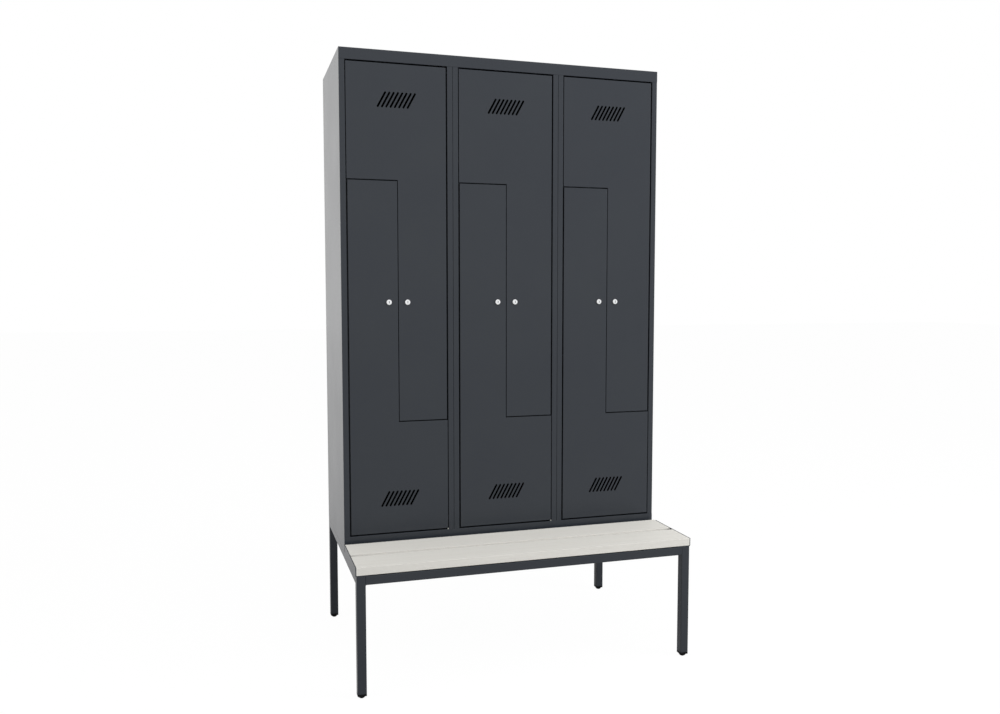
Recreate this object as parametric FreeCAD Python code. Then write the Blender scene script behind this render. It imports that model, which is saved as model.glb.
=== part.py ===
import FreeCAD, Part
import math
import os
from FreeCAD import Vector

# A steel locker cabinet on a square-tube bench frame, with two wooden seat slats in front.
# Three columns each hold two compartments behind a pair of interlocking L-shaped doors.
# Millimetres. X runs to the right, Y to the back, Z up; the origin is on the floor under the middle.

# Columns and cabinet
column_count = 3
column_pitch = 400.0
cabinet_depth = 500.0
cabinet_height = 1750.0
top_rail_height = 40.0
bottom_rail_height = 50.0
stile_face = 20.0
sheet = 1.0
bend_inside_radius = 0.5
weld_flange = 12.0
foot_return = 26.0
seam_gap = 0.6
wall_hole_radius = 4.5
wall_hole_drop = 60.0
wall_hole_spacing = 800.0

# Bench frame and seat
bench_projection = 300.0
frame_top = 408.0
tube_size = 30.0
tube_wall = 1.5
tube_corner_radius = 2.5
foot_flange = 7.0
foot_dome_height = 9.5
foot_dome_radius = 14.0
foot_flat_radius = 6.0
foot_plug_length = 18.0
foot_plug_clearance = 0.15
slat_width = 130.0
slat_thickness = 26.0
slat_gap = 20.0
slat_edge_radius = 3.0
angle_thickness = 3.0
angle_seat_width = 47.0
angle_setback = 12.0
angle_rise = 2.0

# Screws and bolts
screw_radius = 2.0
screw_length = 20.0
screw_head_radius = 4.0
screw_head_height = 2.4
screw_clearance = 0.05
screw_inset = 42.0
bolt_radius = 4.0
bolt_head_flats = 13.0
bolt_head_height = 5.3
bolt_thread_past_nut = 3.0
nut_height = 6.5
bolt_clearance = 0.3
nut_clearance = 0.05
bolt_side_inset = 60.0

# Doors
door_depth = 20.0
door_lip = 10.0
door_front_radius = 1.5
hinge_side_gap = 5.0
free_side_gap = 2.5
end_gap = 5.0
split_gap = 2.0
step_gap = 3.5
split_band = 405.0
stop_gap = 4.0
stop_lip = 12.0
stop_strip_half = 15.0

# Vent slots
vent_count = 8
vent_pitch = 15.0
vent_length = 62.0
vent_width = 7.0
vent_slant = 28.5
vent_inset = 128.0

# Door stiffener
stiffener_offset = 105.0
stiffener_crown = 14.0
stiffener_flange = 8.0
stiffener_height = 12.0
stiffener_end_clearance = 6.0

# Hinges
hinge_inset = 8.0
hinge_depth = 7.0
hinge_end_distance = 90.0
pin_radius = 3.0
pin_running_clearance = 0.05
pin_push_clearance = 0.02
pin_end = 0.6
arm_thickness = 3.0
arm_eye_radius = 5.3
arm_neck = 7.0
arm_foot = 6.2
arm_stop_clearance = 0.3
ear_thickness = 2.0
ear_radius = 5.5
ear_gap = 0.3
notch_clearance = 0.7
notch_front = 2.5

# Locks
lock_offset = 33.0
lock_head_radius = 9.5
lock_head_height = 5.0
lock_head_bevel = 1.2
barrel_radius = 8.0
barrel_clearance = 0.1
lock_nut_flats = 21.0
lock_nut_height = 5.0
plug_radius = 5.5
plug_clearance = 0.05
plug_proud = 0.4
key_slot_width = 2.0
key_slot_height = 8.0
key_slot_depth = 9.0
cam_clearance = 2.0
cam_thickness = 2.0
cam_width = 12.0
cam_length = 28.0
cam_barrel_gap = 0.5
cam_screw_radius = 3.0
cam_screw_flats = 8.0
cam_screw_head_height = 2.5

# Coat rails and buffers
rail_radius = 10.0
rail_end_gap = 0.3
rail_drop = 60.0
rail_depth = 250.0
socket_wall = 3.0
socket_length = 12.0
socket_clearance = 0.1
buffer_width = 8.0
buffer_length = 18.0
buffer_clearance = 0.3
buffer_end_distance = 40.0
rest_width = 3.0
rest_length = 12.0
rest_front = 2.5
rest_clearance = 0.4
rest_columns = (0, 1)

# Derived places
half_width = column_count * column_pitch / 2
bench_front = -(bench_projection + cabinet_depth) / 2
cabinet_front = bench_front + bench_projection
cabinet_back = cabinet_front + cabinet_depth
foot_height = foot_dome_height + foot_flange
rail_bottom = frame_top - tube_size
cabinet_top = frame_top + cabinet_height
opening_bottom = frame_top + bottom_rail_height
opening_top = cabinet_top - top_rail_height
opening_half = column_pitch / 2 - stile_face
mid_height = (opening_bottom + opening_top) / 2
split_high = opening_top - split_band
split_low = opening_bottom + split_band
wall_depth = cabinet_depth - sheet
inside_back = cabinet_front + wall_depth - sheet - bend_inside_radius
stop_depth = door_depth + stop_gap
return_depth = stop_depth + sheet
hinge_x = opening_half - hinge_side_gap - hinge_inset
hinge_y = cabinet_front + hinge_depth
column_centres = [(i - (column_count - 1) / 2) * column_pitch for i in range(column_count)]
boundaries = [-half_width + (i + 1) * column_pitch for i in range(column_count - 1)]
x_dir = Vector(1, 0, 0)
y_dir = Vector(0, 1, 0)
z_dir = Vector(0, 0, 1)


def slab(x0, x1, y0, y1, z0, z1):
    """A box between two opposite corners."""
    return Part.makeBox(x1 - x0, y1 - y0, z1 - z0, Vector(x0, y0, z0))


def rod(radius, start, end):
    """A round bar from one point to another."""
    return Part.makeCylinder(radius, (end - start).Length, start, end - start)


def fused(solids):
    """One solid from pieces that share faces, with the seams between them removed."""
    return solids[0].fuse(solids[1:]).removeSplitter()


def joined_wire(edges):
    """A closed wire from edges in any order."""
    return Part.Wire(Part.__sortEdges__(edges))


def bent_sheet(path, place, run):
    """A folded sheet: path lists the corners of one of its sides, with the metal on the left of travel.

    place turns a corner (a, b) into a point, and run is the vector that the section is extruded along.
    """
    flat = [Vector(a, b, 0) for a, b in path]
    along = [(q - p).normalize() for p, q in zip(flat, flat[1:])]
    left = [Vector(-d.y, d.x, 0) for d in along]
    sides = [[], []]
    for side, offset in zip(sides, (0.0, sheet)):
        side.append([flat[0] + left[0] * offset])
        for i in range(1, len(flat) - 1):
            before, after = along[i - 1], along[i]
            turn = math.atan2(before.x * after.y - before.y * after.x, before.dot(after))
            tangent = math.tan(turn / 2)
            corner = flat[i] + left[i - 1] * offset - before * (offset * tangent)
            inner = offset == sheet if turn > 0 else offset == 0
            radius = bend_inside_radius if inner else bend_inside_radius + sheet
            reach = radius * abs(tangent)
            centre_way = (after - before).normalize()
            sagitta = radius / math.cos(turn / 2) - radius
            side.append([corner - before * reach, corner + centre_way * sagitta, corner + after * reach])
        side.append([flat[-1] + left[-1] * offset])
    stations = sides[0] + sides[1][::-1]
    edges = []
    reversed_from = len(sides[0])
    ends = []
    for i, station in enumerate(stations):
        points = station if i < reversed_from else station[::-1]
        points = [place(p.x, p.y) for p in points]
        if len(points) == 3:
            edges.append(Part.Arc(*points).toShape())
        ends.append((points[0], points[-1]))
    for (_, leave), (arrive, _) in zip(ends, ends[1:] + ends[:1]):
        edges.append(Part.makeLine(leave, arrive))
    return Part.Face(joined_wire(edges)).extrude(run)


def polygon_prism(corners, run):
    """A prism on a flat polygon."""
    return Part.Face(Part.makePolygon(corners + corners[:1])).extrude(run)


def hexagon_prism(flats, centre, run):
    """A hexagonal bar, with its flats this far apart, in the plane square to run."""
    side_way = x_dir
    other_way = run.cross(side_way).normalize()
    reach = flats / math.sqrt(3)
    corners = []
    for i in range(6):
        angle = math.radians(60 * i)
        corners.append(centre + side_way * (reach * math.cos(angle)) + other_way * (reach * math.sin(angle)))
    return polygon_prism(corners, run)


def rounded_square(centre, size, radius, u, v):
    """The outline of a square with rounded corners, in the plane of u and v."""
    half = size / 2
    straight = half - radius
    diagonal = straight + radius / math.sqrt(2)
    edges = []
    for i in range(4):
        a = u * math.cos(i * math.pi / 2) + v * math.sin(i * math.pi / 2)
        b = v * math.cos(i * math.pi / 2) - u * math.sin(i * math.pi / 2)
        first = centre + a * half + b * straight
        middle = centre + a * diagonal + b * diagonal
        last = centre + a * straight + b * half
        following = centre + b * half - a * straight
        edges.append(Part.Arc(first, middle, last).toShape())
        edges.append(Part.makeLine(last, following))
    return joined_wire(edges)


def square_tube(start, end, u, v):
    """A square steel tube from one point on its axis to another."""
    outer = Part.Face(rounded_square(start, tube_size, tube_corner_radius, u, v)).extrude(end - start)
    half = tube_size / 2 - tube_wall
    corners = [start + u * (a * half) + v * (b * half) for a, b in ((1, 1), (-1, 1), (-1, -1), (1, -1))]
    return outer.cut(polygon_prism(corners, end - start))


def export(name, solids):
    """Write one node, which may hold several separate solids."""
    shape = solids[0] if len(solids) == 1 else Part.makeCompound(solids)
    shape.exportStep("parts/" + name + ".step")


# Bench frame: welded square tubes. The legs run full height and the rails butt between them.
tube_half = tube_size / 2
leg_x = half_width - tube_half
front_leg_y = bench_front + tube_half
rear_leg_y = cabinet_back - tube_half
cross_rail_y = cabinet_front + tube_half
rail_z = frame_top - tube_half
leg_places = {
    "leg_front_left": Vector(-leg_x, front_leg_y, 0),
    "leg_front_right": Vector(leg_x, front_leg_y, 0),
    "leg_rear_left": Vector(-leg_x, rear_leg_y, 0),
    "leg_rear_right": Vector(leg_x, rear_leg_y, 0),
}
bolt_places = []
for y in (cross_rail_y, rear_leg_y):
    for side in (-1, 1):
        bolt_places.append(Vector(side * (half_width - tube_size - bolt_side_inset), y, rail_bottom))


def long_rail(y, bolted):
    """A rail along X between two legs or side rails, drilled where the cabinet bolts pass."""
    reach = leg_x - tube_half
    rail = square_tube(Vector(-reach, y, rail_z), Vector(reach, y, rail_z), y_dir, z_dir)
    for place in bolt_places:
        if bolted and place.y == y:
            rail = rail.cut(rod(bolt_radius + bolt_clearance, place, place + z_dir * tube_size))
    return rail


def side_rail(x):
    """A rail along Y between the front and rear legs."""
    start = Vector(x, front_leg_y + tube_half, rail_z)
    end = Vector(x, rear_leg_y - tube_half, rail_z)
    return square_tube(start, end, x_dir, z_dir)


def foot_cap(place):
    """A plastic glide under a leg: a dome with a flat tip, a square flange, and a plug inside the tube.

    The dome is the zone of a ball between the flat on the floor and the circle under the flange.
    """
    spread = foot_dome_radius ** 2 - foot_flat_radius ** 2
    ball_height = (foot_dome_height ** 2 + spread) / (2 * foot_dome_height)
    ball_radius = math.hypot(foot_flat_radius, ball_height)
    low_angle = -math.degrees(math.asin(ball_height / ball_radius))
    high_angle = math.degrees(math.asin((foot_dome_height - ball_height) / ball_radius))
    dome = Part.makeSphere(ball_radius, place + z_dir * ball_height, z_dir, low_angle, high_angle, 360)
    outline = rounded_square(place + z_dir * foot_dome_height, tube_size, tube_corner_radius, x_dir, y_dir)
    flange = Part.Face(outline).extrude(z_dir * foot_flange)
    plug_half = tube_half - tube_wall - foot_plug_clearance
    low = place + Vector(-plug_half, -plug_half, foot_height)
    return fused([dome, flange, Part.makeBox(2 * plug_half, 2 * plug_half, foot_plug_length, low)])


# Bench seat: two wooden slats held between steel end angles that sit on the side rails.
slat_bottom = frame_top + angle_thickness
slat_top = slat_bottom + slat_thickness
front_slat_y = bench_front
rear_slat_y = bench_front + slat_width + slat_gap
seat_back = rear_slat_y + slat_width
screw_x = half_width - tube_size - (angle_seat_width - angle_thickness - tube_size) / 2
screw_places = []
for slat_y in (front_slat_y, rear_slat_y):
    for y in (slat_y + screw_inset, slat_y + slat_width - screw_inset):
        for side in (-1, 1):
            screw_places.append(Vector(side * screw_x, y, frame_top))


def slat(y):
    """A plank with rounded long edges and pilot holes for its screws."""
    plank = slab(-half_width, half_width, y, y + slat_width, slat_bottom, slat_top)
    long_edges = [e for e in plank.Edges if e.BoundBox.XLength > slat_width]
    plank = plank.makeFillet(slat_edge_radius, long_edges)
    for place in screw_places:
        if y < place.y < y + slat_width:
            plank = plank.cut(rod(screw_radius + screw_clearance, place, place + z_dir * screw_length))
    return plank


def end_angle(side):
    """A steel angle: one leg lies on the side rail under the slats, the other covers their ends.

    It stops a little short of the seat's back edge, and rises a little above the slats.
    """
    inner = half_width + angle_thickness - angle_seat_width
    outer = half_width + angle_thickness
    angle_back = seat_back - angle_setback
    seat = slab(inner, outer, bench_front, angle_back, frame_top, slat_bottom)
    upright = slab(half_width, outer, bench_front, angle_back, slat_bottom, slat_top + angle_rise)
    angle = fused([seat, upright])
    if side < 0:
        angle = angle.mirror(Vector(0, 0, 0), x_dir)
    for place in screw_places:
        if place.x * side > 0:
            angle = angle.cut(rod(screw_radius + screw_clearance, place, place + z_dir * angle_thickness))
    return angle


def slat_screw(place):
    """A pan-head wood screw, driven upwards."""
    head = rod(screw_head_radius, place - z_dir * screw_head_height, place)
    return fused([head, rod(screw_radius, place, place + z_dir * screw_length)])


def frame_bolt(place):
    """A hexagon bolt that passes up through a rail into a nut on the cabinet's foot return."""
    seat = place.z + tube_size + sheet
    tip = Vector(place.x, place.y, seat + nut_height + bolt_thread_past_nut)
    head = hexagon_prism(bolt_head_flats, place, -z_dir * bolt_head_height)
    return fused([head, rod(bolt_radius, place, tip)])


def frame_nut(place):
    """The nut of one frame bolt."""
    low = Vector(place.x, place.y, place.z + tube_size + sheet)
    nut = hexagon_prism(bolt_head_flats, low, z_dir * nut_height)
    return nut.cut(rod(bolt_radius + nut_clearance, low, low + z_dir * nut_height))


# Cabinet shell: folded sheets. Stiles fill the front between the top and bottom rails.
def wall_with_stile(outer_x, inward, full_height):
    """An upright wall whose front edge folds into a stile, a return and a door stop.

    outer_x is the wall's outer side and inward points to the column that the stile frames. A cabinet side
    stands on the frame at full height; a partition stands on the floor and fits under the roof.
    """
    own_stile = stile_face if full_height else stile_face - seam_gap / 2
    path = [
        (weld_flange, wall_depth),
        (0, wall_depth),
        (0, 0),
        (own_stile, 0),
        (own_stile, stop_depth),
        (own_stile + stop_lip, stop_depth),
    ]

    def place(u, v):
        return Vector(outer_x + inward * u, cabinet_front + v, opening_bottom)

    body = bent_sheet(path, place, z_dir * (opening_top - opening_bottom))
    inner_x = outer_x + inward * sheet
    low_x, high_x = min(outer_x, inner_x), max(outer_x, inner_x)
    if full_height:
        front, back = cabinet_front + sheet, cabinet_front + wall_depth
        spans = [(frame_top, opening_bottom), (opening_top, cabinet_top)]
    else:
        front, back = cabinet_front + return_depth, inside_back
        spans = [(opening_top, cabinet_top - sheet)]
    return fused([body] + [slab(low_x, high_x, front, back, low, high) for low, high in spans])


def mullion_stile(boundary):
    """The folded strip that frames the column on the right of a partition."""
    face = stile_face - seam_gap / 2
    path = [(0, return_depth), (0, 0), (face, 0), (face, stop_depth), (face + stop_lip, stop_depth)]

    def place(u, v):
        return Vector(boundary + seam_gap / 2 + u, cabinet_front + v, opening_bottom)

    return bent_sheet(path, place, z_dir * (opening_top - opening_bottom))


def rail_tips(low, high):
    """The two tips of a front rail, which cover the front edges of the cabinet sides."""
    inner = half_width - sheet
    right = slab(inner, half_width, cabinet_front, cabinet_front + sheet, low, high)
    left = slab(-half_width, -inner, cabinet_front, cabinet_front + sheet, low, high)
    return [left, right]


def cross_sheet(path):
    """A sheet folded in the Y-Z plane that runs between the cabinet sides."""
    inner = half_width - sheet
    return bent_sheet(path, lambda y, z: Vector(-inner, y, z), x_dir * (2 * inner))


def roof_panel():
    """The roof, with the top rail folded down in front and a weld flange behind."""
    back = cabinet_front + wall_depth
    path = [
        (back, cabinet_top - weld_flange),
        (back, cabinet_top),
        (cabinet_front, cabinet_top),
        (cabinet_front, opening_top),
        (cabinet_front + return_depth, opening_top),
    ]
    inset = bend_inside_radius + sheet
    return fused([cross_sheet(path)] + rail_tips(opening_top + inset, cabinet_top - inset))


def floor_panel():
    """The floor, with the bottom rail folded down in front and foot returns bolted to the frame."""
    back = cabinet_front + wall_depth
    path = [
        (back - foot_return, frame_top),
        (back, frame_top),
        (back, opening_bottom),
        (cabinet_front, opening_bottom),
        (cabinet_front, frame_top),
        (cabinet_front + foot_return, frame_top),
    ]
    inset = bend_inside_radius + sheet
    panel = fused([cross_sheet(path)] + rail_tips(frame_top + inset, opening_bottom - inset))
    for place in bolt_places:
        top = Vector(place.x, place.y, frame_top + sheet)
        panel = panel.cut(rod(bolt_radius + bolt_clearance, place, top))
    return panel


def back_panel():
    """A flat sheet with two holes for fixing the cabinet to a wall."""
    front = cabinet_back - sheet
    panel = slab(-half_width, half_width, front, cabinet_back, frame_top, cabinet_top)
    for side in (-1, 1):
        start = Vector(side * wall_hole_spacing / 2, front, cabinet_top - wall_hole_drop)
        panel = panel.cut(rod(wall_hole_radius, start, start + y_dir * sheet))
    return panel


# Inside each column: a Z-shaped divider and a stop strip behind the line between the two doors.
def column_walls(index):
    """The inner sides of a column's two walls."""
    if index == 0:
        left = -half_width + sheet
    else:
        left = boundaries[index - 1] - seam_gap / 2
    if index == column_count - 1:
        right = half_width - sheet
    else:
        right = boundaries[index] - seam_gap / 2 - sheet
    return left, right


def divider(index):
    """A sheet bent into a Z: a high shelf on the left, an upright in the middle, a low shelf on the right."""
    centre = column_centres[index]
    left, right = column_walls(index)
    path = [
        (left, split_high + weld_flange),
        (left, split_high),
        (centre, split_high),
        (centre, split_low),
        (right, split_low),
        (right, split_low + weld_flange),
    ]
    front = cabinet_front + return_depth
    return bent_sheet(path, lambda x, z: Vector(x, front, z), y_dir * (inside_back - front))


def stop_strip(index):
    """The flat Z that both doors close against and that the lock cams catch behind."""
    centre = column_centres[index]
    end = opening_half - stop_lip
    half = stop_strip_half
    outline = [
        (-end, split_high - half),
        (-half, split_high - half),
        (-half, split_low - half),
        (end, split_low - half),
        (end, split_low + half),
        (half, split_low + half),
        (half, split_high + half),
        (-end, split_high + half),
    ]
    corners = [Vector(centre + x, cabinet_front + stop_depth, z) for x, z in outline]
    return polygon_prism(corners, y_dir * sheet)


# Doors. Each is modelled as the upper door of a column centred on X = 0; the lower door is the same
# part turned half round about the middle of the opening.
door_left = -opening_half + free_side_gap
door_right = opening_half - hinge_side_gap
door_top = opening_top - end_gap
door_bottom = split_low + step_gap / 2
door_step = split_high + step_gap / 2
door_split = split_gap / 2
hinge_heights = (
    door_bottom + hinge_end_distance,
    (door_bottom + door_top) / 2,
    door_top - hinge_end_distance,
)


def placed(shape, index, lower):
    """A shape made for an upper door at X = 0, moved to its column and turned round for a lower door."""
    result = shape.copy()
    if lower:
        result.rotate(Vector(0, 0, mid_height), y_dir, 180)
    result.translate(Vector(column_centres[index], 0, 0))
    return result


def door_outline(inset, depth):
    """The corners of the door's L, drawn in by inset, at this depth behind the cabinet front."""
    outline = [
        (door_left + inset, door_top - inset),
        (door_right - inset, door_top - inset),
        (door_right - inset, door_bottom + inset),
        (door_split + inset, door_bottom + inset),
        (door_split + inset, door_step + inset),
        (door_left + inset, door_step + inset),
    ]
    return [Vector(x, cabinet_front + depth, z) for x, z in outline]


def vent_slots():
    """A row of slanted slots with round ends, centred on the door's width."""
    centre_x = (door_left + door_right) / 2
    centre_z = opening_top - vent_inset
    slant = math.radians(vent_slant)
    radius = vent_width / 2
    along = Vector(math.sin(slant), 0, math.cos(slant))
    across = Vector(math.cos(slant), 0, -math.sin(slant)) * radius
    slots = []
    for i in range(vent_count):
        middle = Vector(centre_x + (i - (vent_count - 1) / 2) * vent_pitch, cabinet_front, centre_z)
        high = middle + along * (vent_length / 2 - radius)
        low = middle - along * (vent_length / 2 - radius)
        edges = [
            Part.makeLine(low - across, high - across),
            Part.Arc(high - across, high + along * radius, high + across).toShape(),
            Part.makeLine(high + across, low + across),
            Part.Arc(low + across, low - along * radius, low - across).toShape(),
        ]
        slots.append(Part.Face(joined_wire(edges)).extrude(y_dir * sheet))
    return slots


def hinge_ears(height):
    """Two tabs on the back of the door skin, one above and one below the fixed arm."""
    ears = []
    skin = cabinet_front + sheet
    for low in (height + arm_thickness / 2 + ear_gap, height - arm_thickness / 2 - ear_gap - ear_thickness):
        axis = Vector(hinge_x, hinge_y, low)
        tab = slab(hinge_x - ear_radius, hinge_x + ear_radius, skin, hinge_y, low, low + ear_thickness)
        ear = tab.fuse(rod(ear_radius, axis, axis + z_dir * ear_thickness))
        ears.append(ear.cut(rod(pin_radius + pin_running_clearance, axis, axis + z_dir * ear_thickness)))
    return ears


def door_pan():
    """The door skin with folded edges, vent slots, a lock hole, hinge ears and room for the arms."""
    pan = polygon_prism(door_outline(0, 0), y_dir * door_depth)
    front_edges = [e for e in pan.Edges if e.BoundBox.YMax < cabinet_front + sheet / 2]
    pan = pan.makeFillet(door_front_radius, front_edges)
    pan = pan.cut(polygon_prism(door_outline(sheet, sheet), y_dir * (door_depth - 2 * sheet)))
    pan = pan.cut(polygon_prism(door_outline(door_lip, door_depth - sheet), y_dir * sheet))
    notch_half = arm_thickness / 2 + notch_clearance
    notch_left = hinge_x - arm_neck / 2 - notch_clearance
    tools = vent_slots()
    lock_axis = Vector(lock_offset, cabinet_front, mid_height)
    tools.append(rod(barrel_radius + barrel_clearance, lock_axis, lock_axis + y_dir * sheet))
    front, back = cabinet_front + notch_front, cabinet_front + door_depth
    for height in hinge_heights:
        tools.append(slab(notch_left, door_right, front, back, height - notch_half, height + notch_half))
    pan = pan.cut(tools)
    ears = [ear for height in hinge_heights for ear in hinge_ears(height)]
    return fused([pan] + ears)


def door_stiffener():
    """A hat-section rib welded behind the skin, on the hinge side of the lock."""
    half = stiffener_crown / 2
    foot = half + stiffener_flange
    crown = stiffener_height - sheet
    path = [(-foot, 0), (-half, 0), (-half, crown), (half, crown), (half, 0), (foot, 0)]
    low = door_bottom + door_lip + stiffener_end_clearance
    high = door_top - door_lip - stiffener_end_clearance

    def place(u, v):
        return Vector(stiffener_offset + u, cabinet_front + sheet + v, low)

    return bent_sheet(path, place, z_dir * (high - low))


def hinge_arm(height):
    """A cranked plate: an eye on the hinge axis, a neck straight back and a foot on the stile's return."""
    low = height - arm_thickness / 2
    axis = Vector(hinge_x, hinge_y, low)
    back = cabinet_front + stop_depth - arm_stop_clearance
    left = hinge_x - arm_neck / 2
    neck = slab(left, left + arm_neck, hinge_y, back, low, low + arm_thickness)
    foot = slab(left, opening_half, back - arm_foot, back, low, low + arm_thickness)
    eye = rod(arm_eye_radius, axis, axis + z_dir * arm_thickness)
    hole = rod(pin_radius + pin_push_clearance, axis, axis + z_dir * arm_thickness)
    return fused([eye, neck, foot]).cut(hole)


def hinge_pin(height):
    """The pin through one arm and its two ears."""
    reach = arm_thickness / 2 + ear_gap + ear_thickness + pin_end
    return rod(pin_radius, Vector(hinge_x, hinge_y, height - reach), Vector(hinge_x, hinge_y, height + reach))


# Locks: a bright housing in the door, and a plug that turns the cam behind the stop strip.
cam_front = cabinet_front + return_depth + cam_clearance
barrel_back = cam_front - cam_barrel_gap


def lock_axis_point(index, lower, y):
    """A point on the axis of one lock."""
    side = -1 if lower else 1
    return Vector(column_centres[index] + side * lock_offset, y, mid_height)


def lock_housing(index, lower):
    """A round head on a barrel, with the bore for the plug."""
    face = lock_axis_point(index, lower, cabinet_front - lock_head_height)
    skin = lock_axis_point(index, lower, cabinet_front)
    back = lock_axis_point(index, lower, barrel_back)
    head = rod(lock_head_radius, face, skin)
    rim = [e for e in head.Edges if e.BoundBox.YMax < cabinet_front - lock_head_height / 2]
    head = head.makeChamfer(lock_head_bevel, rim)
    return fused([head, rod(barrel_radius, skin, back)]).cut(rod(plug_radius + plug_clearance, face, back))


def lock_nut(index, lower):
    """The nut that clamps the housing to the door skin."""
    low = lock_axis_point(index, lower, cabinet_front + sheet)
    nut = hexagon_prism(lock_nut_flats, low, y_dir * lock_nut_height)
    return nut.cut(rod(barrel_radius + nut_clearance, low, low + y_dir * lock_nut_height))


def lock_plug(index, lower):
    """The turning core with its key slot in front and the cam screw behind."""
    face = lock_axis_point(index, lower, cabinet_front - lock_head_height - plug_proud)
    shoulder = lock_axis_point(index, lower, cam_front)
    cam_back = lock_axis_point(index, lower, cam_front + cam_thickness)
    core = rod(plug_radius, face, shoulder)
    neck = rod(cam_screw_radius, shoulder, cam_back)
    head = hexagon_prism(cam_screw_flats, cam_back, y_dir * cam_screw_head_height)
    half_width_of_slot = key_slot_width / 2
    half_height_of_slot = key_slot_height / 2
    slot = slab(
        face.x - half_width_of_slot, face.x + half_width_of_slot,
        face.y, face.y + key_slot_depth,
        face.z - half_height_of_slot, face.z + half_height_of_slot,
    )
    return fused([core, neck, head]).cut(slot)


def lock_cam(index, lower):
    """The tongue behind the door, hanging down while the lock is open."""
    axis = lock_axis_point(index, lower, cam_front)
    back = axis + y_dir * cam_thickness
    half = cam_width / 2
    tongue = slab(axis.x - half, axis.x + half, axis.y, back.y, axis.z - cam_length, axis.z + half)
    return tongue.cut(rod(cam_screw_radius + plug_clearance, axis, back))


# Coat rails: a bar across the head of each hanging space, held in an open socket at each end.
rail_y = cabinet_front + rail_depth


def coat_rail_ends(index, lower):
    """The two points where a coat rail meets the walls of its compartment."""
    left, right = column_walls(index)
    height = opening_top - rail_drop
    if lower:
        right = column_centres[index]
        height = split_high - rail_drop
    return Vector(left, rail_y, height), Vector(right, rail_y, height)


def coat_rail(index, lower):
    """The rail between its two sockets."""
    left, right = coat_rail_ends(index, lower)
    return rod(rail_radius, left + x_dir * rail_end_gap, right - x_dir * rail_end_gap)


def rail_socket(wall, way):
    """A U on a wall, open at the top so that the rail drops in, reaching out along way."""
    inner = rail_radius + socket_clearance
    outer = inner + socket_wall

    def point(y, z):
        return wall + y_dir * y + z_dir * z

    edges = [
        Part.makeLine(point(-outer, rail_radius), point(-outer, 0)),
        Part.Arc(point(-outer, 0), point(0, -outer), point(outer, 0)).toShape(),
        Part.makeLine(point(outer, 0), point(outer, rail_radius)),
        Part.makeLine(point(outer, rail_radius), point(inner, rail_radius)),
        Part.makeLine(point(inner, rail_radius), point(inner, 0)),
        Part.Arc(point(inner, 0), point(0, -inner), point(-inner, 0)).toShape(),
        Part.makeLine(point(-inner, 0), point(-inner, rail_radius)),
        Part.makeLine(point(-inner, rail_radius), point(-outer, rail_radius)),
    ]
    return Part.Face(joined_wire(edges)).extrude(way * socket_length)


# Door buffers: pads on the stops at each door's free edge, and a small rest on the sill.
def door_buffer(index, lower, from_end):
    """A pad between a stop lip and the back of a door."""
    left = -opening_half + (stop_lip - buffer_width) / 2
    middle = opening_top - buffer_end_distance if from_end else split_high + buffer_end_distance
    low = middle - buffer_length / 2
    front = cabinet_front + door_depth + buffer_clearance
    back = cabinet_front + stop_depth
    return placed(slab(left, left + buffer_width, front, back, low, low + buffer_length), index, lower)


def door_rest(index):
    """A block on the sill under the free corner of a lower door."""
    right = column_centres[index] + opening_half
    front = cabinet_front + rest_front
    top = opening_bottom + end_gap - rest_clearance
    return slab(right - rest_width, right, front, front + rest_length, opening_bottom, top)


os.makedirs("parts", exist_ok=True)

for name, place in leg_places.items():
    foot_top = place + z_dir * foot_height
    export(name, [square_tube(foot_top, place + z_dir * frame_top, x_dir, y_dir)])
export("front_rail", [long_rail(front_leg_y, False)])
export("rear_rail", [long_rail(rear_leg_y, True)])
export("cross_rail", [long_rail(cross_rail_y, True)])
export("side_rail_left", [side_rail(-leg_x)])
export("side_rail_right", [side_rail(leg_x)])
export("foot_caps", [foot_cap(place) for place in leg_places.values()])

export("slat_front", [slat(front_slat_y)])
export("slat_rear", [slat(rear_slat_y)])
export("end_angle_left", [end_angle(-1)])
export("end_angle_right", [end_angle(1)])
export("slat_screws", [slat_screw(place) for place in screw_places])
bolts_and_nuts = [frame_bolt(place) for place in bolt_places] + [frame_nut(place) for place in bolt_places]
export("frame_bolts", bolts_and_nuts)

export("side_panel_left", [wall_with_stile(-half_width, 1, True)])
export("side_panel_right", [wall_with_stile(half_width, -1, True)])
for number, boundary in enumerate(boundaries, 1):
    export("partition_%d" % number, [wall_with_stile(boundary - seam_gap / 2, -1, False)])
    export("mullion_stile_%d" % number, [mullion_stile(boundary)])
export("roof_panel", [roof_panel()])
export("floor_panel", [floor_panel()])
export("back_panel", [back_panel()])

pan_shape = door_pan()
stiffener_shape = door_stiffener()
arms = []
pins = []
rails = []
sockets = []
buffers = []
for index in range(column_count):
    number = index + 1
    export("divider_%d" % number, [divider(index)])
    export("stop_strip_%d" % number, [stop_strip(index)])
    for lower in (False, True):
        level = "lower" if lower else "upper"
        export("%s_door_%d" % (level, number), [placed(pan_shape, index, lower)])
        export("%s_stiffener_%d" % (level, number), [placed(stiffener_shape, index, lower)])
        export("%s_lock_housing_%d" % (level, number), [lock_housing(index, lower), lock_nut(index, lower)])
        export("%s_lock_rotor_%d" % (level, number), [lock_plug(index, lower), lock_cam(index, lower)])
        for height in hinge_heights:
            arms.append(placed(hinge_arm(height), index, lower))
            pins.append(placed(hinge_pin(height), index, lower))
        rails.append(coat_rail(index, lower))
        left_end, right_end = coat_rail_ends(index, lower)
        sockets += [rail_socket(left_end, x_dir), rail_socket(right_end, -x_dir)]
        buffers += [door_buffer(index, lower, True), door_buffer(index, lower, False)]
    if index in rest_columns:
        buffers.append(door_rest(index))
export("hinge_arms", arms)
export("hinge_pins", pins)
export("coat_rails", rails)
export("rail_sockets", sockets)
export("door_buffers", buffers)
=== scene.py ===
import math

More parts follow.
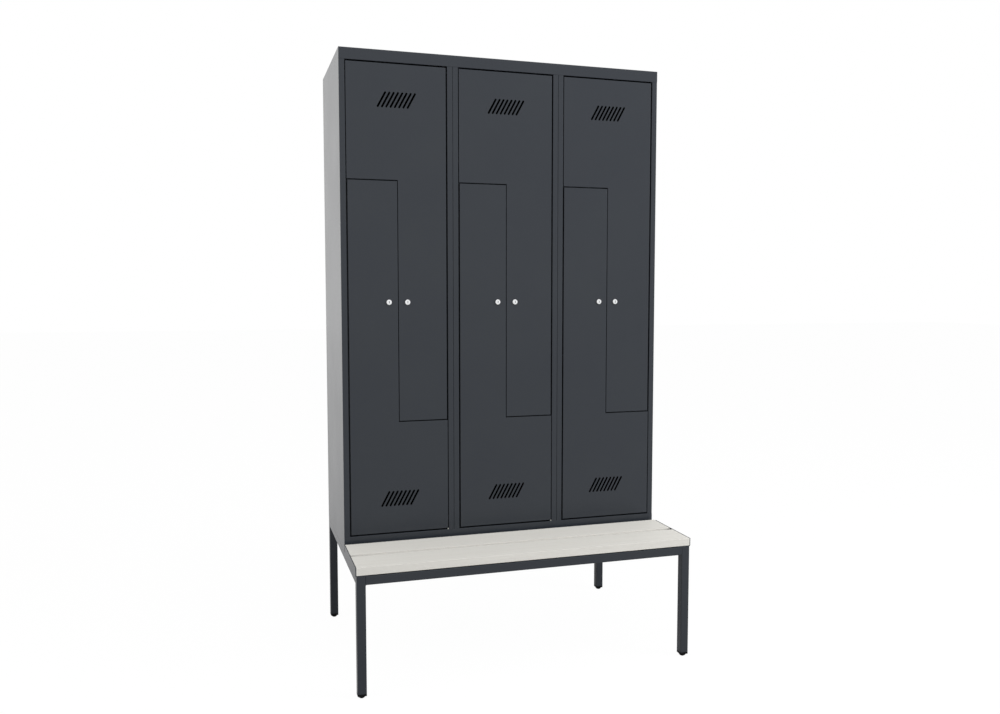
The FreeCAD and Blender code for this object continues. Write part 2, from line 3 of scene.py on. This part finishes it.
import bpy
import numpy as np
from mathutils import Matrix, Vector


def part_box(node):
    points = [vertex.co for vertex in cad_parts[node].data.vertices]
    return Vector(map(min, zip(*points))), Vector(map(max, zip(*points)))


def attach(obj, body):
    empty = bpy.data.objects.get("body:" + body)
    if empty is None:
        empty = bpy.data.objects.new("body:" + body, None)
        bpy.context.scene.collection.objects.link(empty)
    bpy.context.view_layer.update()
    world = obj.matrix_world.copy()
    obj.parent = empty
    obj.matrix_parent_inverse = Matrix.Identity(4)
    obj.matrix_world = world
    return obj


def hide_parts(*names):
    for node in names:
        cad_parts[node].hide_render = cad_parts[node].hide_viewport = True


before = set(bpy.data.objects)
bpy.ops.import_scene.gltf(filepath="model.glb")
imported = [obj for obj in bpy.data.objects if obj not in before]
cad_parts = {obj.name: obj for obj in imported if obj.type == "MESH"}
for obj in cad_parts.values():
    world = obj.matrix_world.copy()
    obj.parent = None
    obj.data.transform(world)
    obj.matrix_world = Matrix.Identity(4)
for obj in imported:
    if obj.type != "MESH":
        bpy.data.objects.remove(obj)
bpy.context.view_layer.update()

# Bench frame: square steel tube, cut and butt welded into four legs, two long rails, a cross rail and
# two side rails. The welded frame is blasted, sprayed with polyester powder and baked, so one anthracite
# coat covers tube and welds alike.
mm = 0.001
coat_shade = "#2B2F36"
coat_tint = "#303439"
coat_ior = 1.38
coat_roughness = (0.19, 0.25)
coat_cloud_size = 240 * mm
# A real coat's orange peel is about 1.5 mm across; it is drawn wider so that it shows at all.
coat_peel_size = 4 * mm
coat_peel_height = 0.02 * mm
coat_peel_strength = 0.5


def linear(hex_colour):
    """An sRGB hex colour as linear red, green and blue, with an alpha of 1."""
    shares = np.array([int(hex_colour[i:i + 2], 16) for i in (1, 3, 5)]) / 255
    values = np.where(shares <= 0.04045, shares / 12.92, ((shares + 0.055) / 1.055) ** 2.4)
    return (*values.tolist(), 1.0)


def add_node(tree, kind, values=None, links=None, **settings):
    """A shader node with its settings, its socket values and its links, given as socket: (node, output)."""
    node = tree.nodes.new(kind)
    for name, value in settings.items():
        setattr(node, name, value)
    for socket, value in (values or {}).items():
        node.inputs[socket].default_value = value
    for socket, (source, output) in (links or {}).items():
        tree.links.new(source.outputs[output], node.inputs[socket])
    return node


def blank_material(name):
    """A new material with an empty node tree."""
    material = bpy.data.materials.new(name)
    material.use_nodes = True
    material.node_tree.nodes.clear()
    return material


def dress(material, *names):
    """Gives nodes of the frame their finish."""
    for name in names:
        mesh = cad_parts[name].data
        mesh.materials.clear()
        mesh.materials.append(material)


def powder_coated_steel():
    """Baked polyester powder: a satin skin with faint clouds of tone and the shallow waves of orange peel."""
    material = blank_material("powder_coated_steel")
    tree = material.node_tree
    place = add_node(tree, "ShaderNodeTexCoord")
    cloud = add_node(
        tree, "ShaderNodeTexNoise",
        {"Scale": 1 / coat_cloud_size, "Detail": 3.0}, {"Vector": (place, "Object")},
    )
    peel = add_node(
        tree, "ShaderNodeTexNoise",
        {"Scale": 1 / coat_peel_size, "Detail": 1.0}, {"Vector": (place, "Object")},
    )
    tone = add_node(
        tree, "ShaderNodeMix",
        {"A": linear(coat_shade), "B": linear(coat_tint)}, {"Factor": (cloud, "Fac")}, data_type="RGBA",
    )
    gloss = add_node(
        tree, "ShaderNodeMapRange",
        {"To Min": coat_roughness[0], "To Max": coat_roughness[1]}, {"Value": (cloud, "Fac")},
    )
    waves = add_node(
        tree, "ShaderNodeBump",
        {"Strength": coat_peel_strength, "Distance": coat_peel_height}, {"Height": (peel, "Fac")},
    )
    skin = add_node(
        tree, "ShaderNodeBsdfPrincipled", {"IOR": coat_ior},
        {"Base Color": (tone, "Result"), "Roughness": (gloss, "Result"), "Normal": (waves, "Normal")},
    )
    add_node(tree, "ShaderNodeOutputMaterial", links={"Surface": (skin, "BSDF")})
    return material


coat = powder_coated_steel()
legs = ["leg_%s_%s" % (end, side) for end in ("front", "rear") for side in ("left", "right")]
dress(coat, *legs, "front_rail", "rear_rail", "cross_rail", "side_rail_left", "side_rail_right")

# Frame welds: fillets of weld metal laid in the corners under the rails, where these meet the legs, and
# beside the ends of the cross rail. The torch leaves ripples in them, and the frame's coat covers them.
weld_size = 3.2 * mm
weld_ripple = 2.4 * mm
weld_ripple_share = 0.05
weld_margin = 3 * mm
weld_roundness = 1.5
weld_end_power = 12
weld_stations = 65
weld_arc_points = 7
crease = math.radians(35)


def ring_quads(rows, around):
    """The quads between the rows of a grid of points that is closed around, as rows of point numbers."""
    here = np.arange(rows * around).reshape(rows, around)
    beside = np.roll(here, -1, axis=1)
    return np.stack([here[:-1], beside[:-1], beside[1:], here[1:]], axis=-1).reshape(-1, 4)


def add_piece(name, points, faces, material, slot):
    """A new piece of the carcass with its points, faces and finish."""
    mesh = bpy.data.meshes.new(name)
    mesh.from_pydata(points.tolist(), [], faces)
    mesh.materials.append(material)
    mesh.shade_smooth()
    mesh.set_sharp_from_angle(angle=crease)
    piece = bpy.data.objects.new(name, mesh)
    bpy.context.scene.collection.objects.link(piece)
    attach(piece, "carcass")
    return piece


def weld_bead(corner, along, first, second):
    """The points, quads and end triangles of one fillet that starts at corner and runs the length of along;
    first and second point out of the corner on the two faces that it joins.

    A section is the corner and a quarter circle about it, flattened by a power of its cosine and sine. Its
    size swells and shrinks as a cosine along the run, which makes the ripples, and falls to a point at both
    ends as a root.
    """
    if np.dot(np.cross(first, second), along) < 0:
        first, second = second, first
    run = np.linspace(0.0, 1.0, weld_stations)[1:-1]
    ripple = 1 + weld_ripple_share * np.cos(2 * np.pi * run * np.linalg.norm(along) / weld_ripple)
    reach = weld_size * ripple * np.sqrt(1 - np.abs(2 * run - 1) ** weld_end_power)
    turn = np.linspace(0.0, np.pi / 2, weld_arc_points)
    arc = np.abs(np.column_stack([np.cos(turn), np.sin(turn)])) ** weld_roundness
    section = np.vstack([np.zeros(2), arc]) @ np.array([first, second])
    rows = corner + run[:, None, None] * along + reach[:, None, None] * section
    points = np.vstack([rows.reshape(-1, 3), corner, corner + along])
    around = len(section)
    ring = np.arange(around)
    beside = np.roll(ring, -1)
    last = (len(run) - 1) * around
    start_fan = np.column_stack([np.full(around, len(points) - 2), beside, ring])
    end_fan = np.column_stack([np.full(around, len(points) - 1), ring + last, beside + last])
    return points, ring_quads(len(run), around), np.vstack([start_fan, end_fan])


down = np.array([0.0, 0.0, -1.0])
seams = []
# Under each rail at a leg, a seam crosses the leg's inner face; way is the axis that the rail follows.
for leg in legs:
    low, high = np.array(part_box(leg))
    inward = -np.sign(low + high)
    inner = np.where(inward > 0, high, low)
    inner[2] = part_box("front_rail")[0].z
    for way in (0, 1):
        start = inner.copy()
        start[1 - way] = low[1 - way] + weld_margin
        along = np.zeros(3)
        along[1 - way] = (high - low)[1 - way] - 2 * weld_margin
        out = np.zeros(3)
        out[way] = inward[way]
        seams.append((start, along, out, down))
# Each end of the cross rail has an upright seam at its front and at its back.
low, high = np.array(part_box("cross_rail"))
for x, inward in ((low[0], 1.0), (high[0], -1.0)):
    for y, outward in ((low[1], -1.0), (high[1], 1.0)):
        start = np.array([x, y, low[2] + weld_margin])
        along = np.array([0.0, 0.0, high[2] - low[2] - 2 * weld_margin])
        seams.append((start, along, np.array([inward, 0.0, 0.0]), np.array([0.0, outward, 0.0])))
weld_points = np.empty((0, 3))
weld_faces = []
for seam in seams:
    points, quads, fans = weld_bead(*seam)
    before = len(weld_points)
    weld_points = np.vstack([weld_points, points])
    weld_faces += (before + quads).tolist() + (before + fans).tolist()
add_piece("frame_welds", weld_points, weld_faces, coat, "powder_coat")

# Foot caps: black polyethylene mouldings pushed into the ends of the legs. The mould is spark eroded,
# which leaves a fine matt grain.
foot_black = "#0C0C0D"
foot_roughness = 0.65
foot_shine = 0.15
plastic_ior = 1.5
plastic_roughness_spread = 0.05
# The grain of a spark-eroded mould is about 0.2 mm across; it is drawn wider so that it shows.
mould_grain_size = 1.2 * mm
mould_grain_height = 0.05 * mm
mould_grain_strength = 0.6


def moulded_plastic(name, colour, roughness, shine):
    """A moulded thermoplastic: one colour through, with its mould's grain and a gloss that follows it."""
    material = blank_material(name)
    tree = material.node_tree
    place = add_node(tree, "ShaderNodeTexCoord")
    grain = add_node(
        tree, "ShaderNodeTexNoise",
        {"Scale": 1 / mould_grain_size, "Detail": 2.0}, {"Vector": (place, "Object")},
    )
    gloss = add_node(
        tree, "ShaderNodeMapRange",
        {"To Min": roughness - plastic_roughness_spread, "To Max": roughness + plastic_roughness_spread},
        {"Value": (grain, "Fac")},
    )
    relief = add_node(
        tree, "ShaderNodeBump",
        {"Strength": mould_grain_strength, "Distance": mould_grain_height}, {"Height": (grain, "Fac")},
    )
    body = add_node(
        tree, "ShaderNodeBsdfPrincipled",
        {"Base Color": linear(colour), "IOR": plastic_ior, "Specular IOR Level": shine},
        {"Roughness": (gloss, "Result"), "Normal": (relief, "Normal")},
    )
    add_node(tree, "ShaderNodeOutputMaterial", links={"Surface": (body, "BSDF")})
    return material


dress(moulded_plastic("black_polyethylene", foot_black, foot_roughness, foot_shine), "foot_caps")

# Seat slats: two planks of pale softwood, planed, with eased long edges, glazed white and lacquered matt.
# The glaze hides most of the figure and leaves faint lengthwise streaks.
slat_pale = "#E1DFD9"
slat_streak = "#D9D7D1"
slat_pore = "#CCC8C0"
streak_length = 600 * mm
streak_width = 16 * mm
streak_waver = 0.6
# Softwood's fibres are well under 1 mm wide; they are drawn at 2.5 mm so that the grain shows.
fibre_length = 160 * mm
fibre_width = 2.5 * mm
fibre_depth = 0.05 * mm
fibre_strength = 0.5
fibre_noise = (0.55, 0.8)
fibre_darkest = 0.5
lacquer_ior = 1.45
lacquer_shine = 0.2
lacquer_roughness = (0.55, 0.7)
slat_ease = 0.8 * mm
slat_ease_points = 5


def glazed_wood():
    """White-glazed planed wood: broad pale streaks, thin darker fibres and a matt lacquer along the plank."""
    material = blank_material("white_glazed_wood")
    tree = material.node_tree
    place = add_node(tree, "ShaderNodeTexCoord")
    along = add_node(
        tree, "ShaderNodeMapping",
        {"Scale": (1 / streak_length, 1 / streak_width, 1 / streak_width)}, {"Vector": (place, "Object")},
    )
    fine = add_node(
        tree, "ShaderNodeMapping",
        {"Scale": (1 / fibre_length, 1 / fibre_width, 1 / fibre_width)}, {"Vector": (place, "Object")},
    )
    streak = add_node(
        tree, "ShaderNodeTexNoise",
        {"Scale": 1.0, "Detail": 3.0, "Distortion": streak_waver}, {"Vector": (along, "Vector")},
    )
    fibre = add_node(
        tree, "ShaderNodeTexNoise", {"Scale": 1.0, "Detail": 2.0}, {"Vector": (fine, "Vector")}
    )
    broad = add_node(
        tree, "ShaderNodeMix",
        {"A": linear(slat_pale), "B": linear(slat_streak)}, {"Factor": (streak, "Fac")}, data_type="RGBA",
    )
    thin = add_node(
        tree, "ShaderNodeMapRange",
        {"From Min": fibre_noise[0], "From Max": fibre_noise[1], "To Min": 0.0, "To Max": fibre_darkest},
        {"Value": (fibre, "Fac")},
    )
    tone = add_node(
        tree, "ShaderNodeMix",
        {"B": linear(slat_pore)}, {"Factor": (thin, "Result"), "A": (broad, "Result")}, data_type="RGBA",
    )
    gloss = add_node(
        tree, "ShaderNodeMapRange",
        {"To Min": lacquer_roughness[0], "To Max": lacquer_roughness[1]}, {"Value": (fibre, "Fac")},
    )
    relief = add_node(
        tree, "ShaderNodeBump",
        {"Strength": fibre_strength, "Distance": fibre_depth}, {"Height": (fibre, "Fac")},
    )
    lacquer = add_node(
        tree, "ShaderNodeBsdfPrincipled", {"IOR": lacquer_ior, "Specular IOR Level": lacquer_shine},
        {"Base Color": (tone, "Result"), "Roughness": (gloss, "Result"), "Normal": (relief, "Normal")},
    )
    add_node(tree, "ShaderNodeOutputMaterial", links={"Surface": (lacquer, "BSDF")})
    return material


def planed_slat(low, high):
    """The points and faces of a plank between two corners.

    The section is a rectangle whose corners are quarter circles: each circle's centre plus the radius times
    the cosine and sine of its angle. It is carried from one end of the plank to the other.
    """
    middle = (low + high) / 2
    reach = (high - low) / 2 - slat_ease
    corner_ways = np.array([[1, 1], [-1, 1], [-1, -1], [1, -1]])
    turn = np.linspace(0.0, np.pi / 2, slat_ease_points) + np.arange(4)[:, None] * np.pi / 2
    across = middle[1] + reach[1] * corner_ways[:, :1] + slat_ease * np.cos(turn)
    height = middle[2] + reach[2] * corner_ways[:, 1:] + slat_ease * np.sin(turn)
    section = np.column_stack([np.zeros(turn.size), across.ravel(), height.ravel()])
    path = np.array([[low[0], 0.0, 0.0], [high[0], 0.0, 0.0]])
    points = (path[:, None, :] + section).reshape(-1, 3)
    ring = np.arange(turn.size)
    return points, ring_quads(2, turn.size).tolist() + [ring[::-1].tolist(), (ring + turn.size).tolist()]


def shade_flats_flat(piece):
    """Keeps the shading of a piece's round edges from running out over its flat faces."""
    piece.modifiers.new("flat_shading", "WEIGHTED_NORMAL").keep_sharp = True


wood = glazed_wood()
for name in ("slat_front", "slat_rear"):
    slat = add_piece("planed_" + name, *planed_slat(*np.array(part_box(name))), wood, "slat_wood")
    shade_flats_flat(slat)
    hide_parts(name)

# End angles: strips of sheet steel folded to an L, which lie on the side rails and close the ends of the
# slats, just above their tops. The fold rounds the lower corner, the cut edges are eased, and the frame's
# coat covers both.
angle_wall = 3 * mm
angle_fold = 4 * mm
angle_fold_points = 9
angle_ease = 0.5 * mm
angle_ease_segments = 2
angle_rise = 0.7 * mm
slat_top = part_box("slat_front")[1].z


def folded_angle(side, low, high):
    """The points and faces of an end angle between two corners; side is 1 on the right and -1 on the left.

    The outside of the section follows the flat leg, a quarter circle round the fold and the upright. The
    inside follows it back at the wall's distance, about the same centre. It is carried from end to end.
    """
    edge, outer = np.sort(np.abs([low[0], high[0]]))
    radius = angle_fold - angle_wall * np.array([[0.0], [1.0]])
    turn = np.linspace(0.0, np.pi / 2, angle_fold_points)
    middle = outer - angle_fold
    level = low[2] + angle_fold
    top = np.full((2, 1), slat_top + angle_rise)
    across = np.hstack([np.full((2, 1), edge), middle + radius * np.sin(turn), middle + radius])
    height = np.hstack([level - radius, level - radius * np.cos(turn), top])
    steps = across.shape[1]
    across[1] = across[1, ::-1]
    height[1] = height[1, ::-1]
    section = np.column_stack([side * across.ravel(), np.zeros(2 * steps), height.ravel()])
    path = np.array([[0.0, high[1], 0.0], [0.0, low[1], 0.0]])[::side]
    points = (path[:, None, :] + section).reshape(-1, 3)
    outside = np.arange(steps)
    inside = 2 * steps - 1 - outside
    cap = np.column_stack([outside[:-1], outside[1:], inside[1:], inside[:-1]])
    faces = np.vstack([ring_quads(2, 2 * steps), cap[:, ::-1], cap + 2 * steps])
    return points, faces.tolist()


for name, side in (("end_angle_left", -1), ("end_angle_right", 1)):
    angle = add_piece("folded_" + name, *folded_angle(side, *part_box(name)), coat, "powder_coat")
    easing = angle.modifiers.new("eased_edges", "BEVEL")
    easing.width = angle_ease
    easing.segments = angle_ease_segments
    easing.limit_method = "ANGLE"
    easing.angle_limit = crease
    shade_flats_flat(angle)
    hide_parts(name)

# Seat fixings: wood screws, driven up through the flat legs of the end angles, hold the slats, and hexagon
# bolts hold the cabinet on the frame. Both are zinc-plated steel.
zinc_bright = "#C2C5C8"
zinc_dull = "#A4A8AC"
zinc_roughness = (0.28, 0.42)
zinc_patch_size = 6 * mm


def zinc_plated_steel():
    """Bright zinc over rolled steel: a soft metal shine in slightly different patches."""
    material = blank_material("zinc_plated_steel")
    tree = material.node_tree
    place = add_node(tree, "ShaderNodeTexCoord")
    patch = add_node(
        tree, "ShaderNodeTexVoronoi", {"Scale": 1 / zinc_patch_size}, {"Vector": (place, "Object")}
    )
    tone = add_node(
        tree, "ShaderNodeMix",
        {"A": linear(zinc_bright), "B": linear(zinc_dull)}, {"Factor": (patch, "Distance")},
        data_type="RGBA",
    )
    gloss = add_node(
        tree, "ShaderNodeMapRange",
        {"To Min": zinc_roughness[0], "To Max": zinc_roughness[1]}, {"Value": (patch, "Distance")},
    )
    metal = add_node(
        tree, "ShaderNodeBsdfPrincipled", {"Metallic": 1.0},
        {"Base Color": (tone, "Result"), "Roughness": (gloss, "Result")},
    )
    add_node(tree, "ShaderNodeOutputMaterial", links={"Surface": (metal, "BSDF")})
    return material


zinc = zinc_plated_steel()
dress(zinc, "slat_screws", "frame_bolts")

# Cabinet shell: folded sheet steel, 1 mm thick, spot welded and coated in the same anthracite. The roof
# and the floor fold down into the front rails, and the walls fold into stiles and door stops.
dress(coat, "side_panel_left", "side_panel_right", "roof_panel", "floor_panel", "back_panel")
dress(coat, "partition_1", "partition_2", "mullion_stile_1", "mullion_stile_2")

# Inside: each column has a Z-shaped sheet between its two compartments and a flat strip in front of it,
# welded to the walls, which the doors close against. Both wear the cabinet's coat.
columns = (1, 2, 3)
for column in columns:
    dress(coat, "divider_%d" % column, "stop_strip_%d" % column)

# Doors: six L-shaped sheet-steel pans with folded edges and slanted vent slots, in interlocking pairs.
# A hat-section rib is welded up the back of each; pan and rib are coated together.
levels = ("upper", "lower")
doors = ["%s_door_%d" % (level, column) for column in columns for level in levels]
for door in doors:
    dress(coat, door, door.replace("door", "stiffener"))

# Hinges: cranked plates welded behind the stiles and coated with the cabinet, each with a zinc-plated
# pin through two ears on the door. They are hidden while the doors are shut.
dress(coat, "hinge_arms")
dress(zinc, "hinge_pins")

# Locks: cast zinc housings with a turning plug and a tongue, plated with nickel and chrome. The head is
# polished, so it mirrors the bright room.
chrome_bright = "#F6F7F8"
chrome_dull = "#E6E8EA"
chrome_roughness = (0.10, 0.22)
# Polishing marks are finer than 0.1 mm; they are drawn wider so that they show.
polish_mark_size = 0.8 * mm
# Painted shade: the depth of the key slot is drawn near black, standing in for the shade inside it.
keyway_painted_shade = "#121213"
keyway_lip = 0.4 * mm
keyway_depth = 9 * mm


def chrome_plate():
    """Chrome over nickel: a bright mirror, a little softened by polishing marks."""
    material = blank_material("chrome_plated_zinc")
    tree = material.node_tree
    place = add_node(tree, "ShaderNodeTexCoord")
    marks = add_node(
        tree, "ShaderNodeTexNoise",
        {"Scale": 1 / polish_mark_size, "Detail": 2.0}, {"Vector": (place, "Object")},
    )
    tone = add_node(
        tree, "ShaderNodeMix",
        {"A": linear(chrome_bright), "B": linear(chrome_dull)}, {"Factor": (marks, "Fac")},
        data_type="RGBA",
    )
    gloss = add_node(
        tree, "ShaderNodeMapRange",
        {"To Min": chrome_roughness[0], "To Max": chrome_roughness[1]}, {"Value": (marks, "Fac")},
    )
    metal = add_node(
        tree, "ShaderNodeBsdfPrincipled", {"Metallic": 1.0},
        {"Base Color": (tone, "Result"), "Roughness": (gloss, "Result")},
    )
    add_node(tree, "ShaderNodeOutputMaterial", links={"Surface": (metal, "BSDF")})
    return material


def painted_keyway_shade(plate):
    """A copy of the plate for the plugs, with painted shade: it is near black inside the key slot, from just
    behind the plug's face to the slot's floor.
    """
    material = plate.copy()
    material.name = "chrome_plug_painted_keyway_shade"
    tree = material.node_tree
    metal = tree.nodes["Principled BSDF"]
    tone = metal.inputs["Base Color"].links[0].from_node
    plug_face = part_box("upper_lock_rotor_1")[0].y
    keyway_half = keyway_depth / 2
    place = add_node(tree, "ShaderNodeTexCoord")
    axes = add_node(tree, "ShaderNodeSeparateXYZ", None, {"Vector": (place, "Object")})
    # The painted shade's mask: the key slot's depth behind the plug's face.
    inside = add_node(
        tree, "ShaderNodeMath", {1: plug_face + keyway_lip + keyway_half, 2: keyway_half},
        {0: (axes, "Y")}, operation="COMPARE",
    )
    shaded = add_node(
        tree, "ShaderNodeMix",
        {"B": linear(keyway_painted_shade)}, {"Factor": (inside, "Value"), "A": (tone, "Result")}, data_type="RGBA",
    )
    tree.links.new(shaded.outputs["Result"], metal.inputs["Base Color"])
    return material


chrome = chrome_plate()
plug_chrome_painted_shade = painted_keyway_shade(chrome)
for door in doors:
    dress(chrome, door.replace("door", "lock_housing"))
    dress(plug_chrome_painted_shade, door.replace("door", "lock_rotor"))

# Coat rails: steel bars, coated like the cabinet, that drop into open sockets of dark polyamide. The
# sockets are fixed to the walls of the compartments.
socket_dark = "#1E1F21"
socket_roughness = 0.45
socket_shine = 0.5
dress(coat, "coat_rails")
dress(moulded_plastic("dark_polyamide", socket_dark, socket_roughness, socket_shine), "rail_sockets")

# Buffers: pads of natural nylon on the door stops, which meet the doors' free edges, and two small rests
# of the same nylon on the sill, under the corners of two lower doors.
buffer_pale = "#D8D7D0"
buffer_roughness = 0.45
buffer_shine = 0.5
dress(moulded_plastic("natural_nylon", buffer_pale, buffer_roughness, buffer_shine), "door_buffers")

# Studio: a white paper floor that fades into a white surround. The camera sees both as white, and the paper
# keeps part of the object's shadow. The coat and the chrome mirror the surround as white, and the paper with
# a painted shadow: darker close to the object and white towards the horizon.
floor_half = 30.0
floor_paper = "#B8B8B8"
# The floor is part glow and part lit paper. These are the glow's strength and its share as the camera sees
# it, as a polish mirrors it at floor_near from the middle, and as a polish mirrors it at the horizon.
floor_glow = 1.04
floor_glow_seen = 0.94
# Painted shadow: a polish sees the glow weaker near the object, standing in for the object's shade on the
# paper.
floor_glow_in_painted_shadow = 0.18
floor_glow_far = 1.05
floor_near = 0.8
surround_light = 0.41
white = linear("#FFFFFF")


def mirrored_rays(tree, path):
    """A node that gives 1 for the rays that see things in a polish or through glass, and 0 for the rest."""
    return add_node(
        tree, "ShaderNodeMath", None,
        {0: (path, "Is Glossy Ray"), 1: (path, "Is Transmission Ray")}, operation="MAXIMUM",
    )


def white_paper():
    """Matt paper with a glow. Mirrored, it holds a painted shadow that pales evenly as one over the root of
    its distance falls, to nought at the horizon.
    """
    material = blank_material("white_paper_floor")
    tree = material.node_tree
    path = add_node(tree, "ShaderNodeLightPath")
    place = add_node(tree, "ShaderNodeTexCoord")
    distance = add_node(tree, "ShaderNodeVectorMath", None, {0: (place, "Object")}, operation="LENGTH")
    nearness = add_node(tree, "ShaderNodeMath", None, {0: (distance, "Value")}, operation="INVERSE_SQRT")
    nearest = 1 / math.sqrt(floor_near)
    painted_shadow_fade = add_node(
        tree, "ShaderNodeMapRange",
        {"From Min": nearest, "From Max": 0.0, "To Min": floor_glow_in_painted_shadow, "To Max": floor_glow_far},
        {"Value": (nearness, "Value")},
    )
    mirrored_share = add_node(
        tree, "ShaderNodeMath", None,
        {0: (mirrored_rays(tree, path), "Value"), 1: (painted_shadow_fade, "Result")}, operation="MULTIPLY",
    )
    glow_share = add_node(
        tree, "ShaderNodeMath", {1: floor_glow_seen},
        {0: (path, "Is Camera Ray"), 2: (mirrored_share, "Value")}, operation="MULTIPLY_ADD",
    )
    paper = add_node(tree, "ShaderNodeBsdfDiffuse", {"Color": linear(floor_paper)})
    glow = add_node(tree, "ShaderNodeEmission", {"Color": white, "Strength": floor_glow})
    blend = add_node(
        tree, "ShaderNodeMixShader", None,
        {"Fac": (glow_share, "Value"), 1: (paper, "BSDF"), 2: (glow, "Emission")},
    )
    add_node(tree, "ShaderNodeOutputMaterial", links={"Surface": (blend, "Shader")})
    return material


def white_surround():
    """A surround that is white where the camera or a polish sees it, and lights the object more softly."""
    world = bpy.data.worlds.new("white_studio")
    world.use_nodes = True
    tree = world.node_tree
    tree.nodes.clear()
    path = add_node(tree, "ShaderNodeLightPath")
    seen = add_node(
        tree, "ShaderNodeMath", None,
        {0: (path, "Is Camera Ray"), 1: (mirrored_rays(tree, path), "Value")}, operation="MAXIMUM",
    )
    level = add_node(
        tree, "ShaderNodeMapRange", {"To Min": surround_light, "To Max": 1.0}, {"Value": (seen, "Value")}
    )
    surround = add_node(tree, "ShaderNodeBackground", {"Color": white}, {"Strength": (level, "Result")})
    add_node(tree, "ShaderNodeOutputWorld", links={"Surface": (surround, "Background")})
    return world


def soft_box(name, place, aim, size, power):
    """A square area light at place that points at aim; no polish mirrors it, so sharp edges stay calm."""
    light = bpy.data.lights.new(name, "AREA")
    light.size = size
    light.energy = power
    lamp = bpy.data.objects.new(name, light)
    lamp.location = place
    lamp.visible_glossy = False
    lamp.rotation_euler = (Vector(aim) - Vector(place)).to_track_quat("-Z", "Y").to_euler()
    bpy.context.scene.collection.objects.link(lamp)


floor_mesh = bpy.data.meshes.new("studio_floor")
floor_corners = [(x * floor_half, y * floor_half, 0.0) for x, y in ((-1, -1), (1, -1), (1, 1), (-1, 1))]
floor_mesh.from_pydata(floor_corners, [], [(0, 1, 2, 3)])
floor_mesh.materials.append(white_paper())
floor = bpy.data.objects.new("studio_floor", floor_mesh)
bpy.context.scene.collection.objects.link(floor)
bpy.context.scene.world = white_surround()
soft_box("overhead_box", place=(0.4, -1.4, 4.4), aim=(0.0, -0.3, 1.0), size=3.0, power=64.0)
soft_box("right_box", place=(5.0, -3.2, 2.6), aim=(0.0, -0.1, 1.4), size=2.5, power=262.0)
soft_box("left_box", place=(-4.5, -2.0, 2.6), aim=(0.0, 0.0, 1.2), size=2.5, power=65.0)

# Camera: a little over 3 m in front of the unit's middle and to the left of it, at chest height. It is
# turned to the right and tilted slightly down, with a moderate wide angle, as in the photo.
camera_place = (-0.9847, -3.2259, 1.3205)
camera_tilt = -4.101
camera_turn = -17.079
camera_lens = 32.115
camera_sensor = 36.0
camera_data = bpy.data.cameras.new("photo_camera")
camera_data.sensor_width = camera_sensor
camera_data.lens = camera_lens
camera = bpy.data.objects.new("photo_camera", camera_data)
camera.location = camera_place
camera.rotation_euler = (math.radians(90 + camera_tilt), 0.0, math.radians(camera_turn))
bpy.context.scene.collection.objects.link(camera)
bpy.context.scene.camera = camera
bpy.context.scene.view_settings.view_transform = "Standard"
